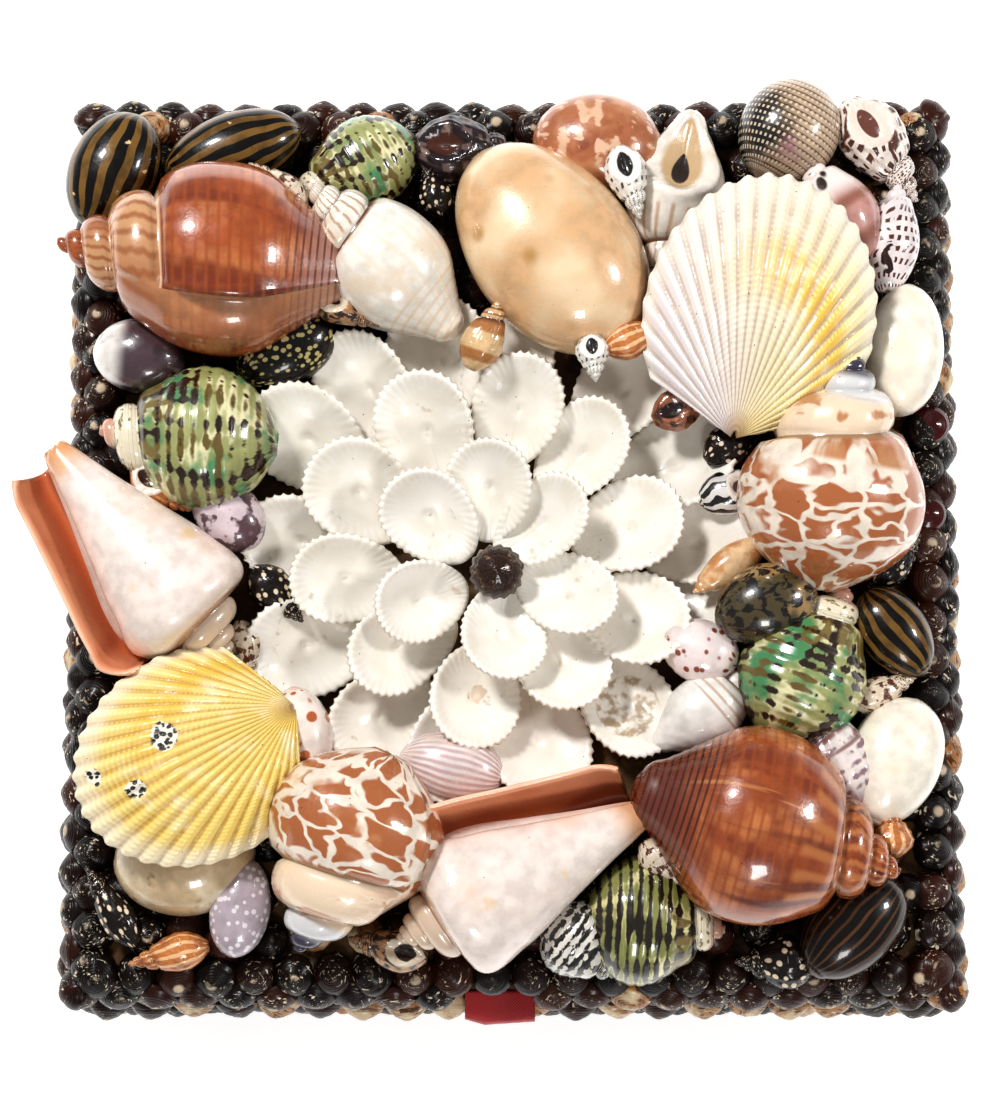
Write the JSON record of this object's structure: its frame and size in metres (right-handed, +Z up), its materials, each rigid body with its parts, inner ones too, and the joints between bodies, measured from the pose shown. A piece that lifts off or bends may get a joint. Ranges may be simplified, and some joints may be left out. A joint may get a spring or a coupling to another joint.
{
  "type": "shell box",
  "caption": "Square box with a lift-off lid, covered with glued sea shells round a flower of white valves, with a ribbon pull.",
  "frame": {"origin": "middle of the tray's flat underside, on the surface that the box stands on", "axes": "+Z up through the lid, -Y towards the front with the ribbon, +X to the right seen from the front"},
  "size_m": [0.2219, 0.2254, 0.0916],
  "materials": {
    "board": "raw mustard-brown board with dried glue",
    "ribbon": "satin ribbon",
    "top_shells_dark": "dark varnished top shells with pale flecks",
    "top_shells_side": "dark and tan varnished top shells",
    "cockle_white": "white varnished cockle valves, hollow side up",
    "scallop_yellow": "ribbed valve, lilac-white to yellow, varnished",
    "cowrie_tan": "polished cream and tan with soft spots",
    "whelk_brown": "glossy red-brown with darker bands",
    "whelk_white": "white with fine brown seams, varnished",
    "babylonia_blotched": "orange-brown blotches in a white network, varnished",
    "conch_white": "white-pink cone with an orange lip, varnished",
    "turban_green": "green and yellow with dark flames, varnished",
    "nerite_dark": "black with golden stripes or specks, varnished",
    "shell_mottled": "brown and black on cream, spotted or banded, varnished",
    "shell_pale": "pale white, pink or mauve, varnished"
  },
  "bodies": {
    "root": {"tray": "board", "lid": "board", "ribbon_pull": "ribbon", "lid_edge_shells_front": "top_shells_dark", "lid_edge_shells_right": "top_shells_dark", "lid_edge_shells_back": "top_shells_dark", "lid_edge_shells_left": "top_shells_dark", "tray_shells_front": "top_shells_side", "tray_shells_right": "top_shells_side", "tray_shells_back": "top_shells_side", "tray_shells_left": "top_shells_side", "flower_centre_shell": "top_shells_dark", "petals_inner": "cockle_white", "petals_middle": "cockle_white", "petals_outer": "cockle_white", "shell_scallop_right": "scallop_yellow", "shell_scallop_left": "scallop_yellow", "shell_egg_cowrie": "cowrie_tan", "shell_white_whelk": "whelk_white", "shell_brown_whelk_left": "whelk_brown", "shell_babylonia_right": "babylonia_blotched", "shell_conch_left": "conch_white", "shell_conch_front": "conch_white", "shell_brown_whelk_right": "whelk_brown", "shell_babylonia_left": "babylonia_blotched", "shell_green_turban_left": "turban_green", "shell_mottled_nerite": "nerite_dark", "shell_green_turban_right": "turban_green", "shell_white_whelk_small": "whelk_white", "shell_purple_thais": "shell_pale", "shell_spotted_cone_left": "shell_mottled", "shell_striated_moon": "shell_pale", "shell_mauve_cowrie": "shell_pale", "shell_orange_whelk": "shell_mottled", "shell_broken_whelk": "whelk_white", "shell_brown_clam": "cowrie_tan", "shell_drupe_dark": "shell_mottled", "shell_drupe_ribbed": "shell_mottled", "shell_pink_cone": "shell_pale", "shell_planaxis_corner": "shell_mottled", "shell_mitre": "shell_mottled", "shell_white_cowrie": "shell_pale", "shell_zebra_nerite_corner": "nerite_dark", "shell_zebra_nerite_back": "nerite_dark", "shell_green_turban_back": "turban_green", "shell_gold_nerite": "nerite_dark", "shell_grey_cowrie": "shell_pale", "shell_banded_whelk": "shell_mottled", "shell_small_murex": "shell_mottled", "shell_speckled_whelk": "nerite_dark", "shell_striped_nerite": "nerite_dark", "shell_olive": "shell_pale", "shell_spotted_cone_right": "shell_mottled", "shell_zebra_nerite_right": "nerite_dark", "shell_white_moon": "shell_pale", "shell_zebra_nerite_front": "nerite_dark", "shell_green_turban_front": "turban_green", "shell_striped_turban": "nerite_dark", "shell_cream_cowrie": "cowrie_tan", "shell_dotted_cowrie": "shell_pale"}
  },
  "joints": []
}
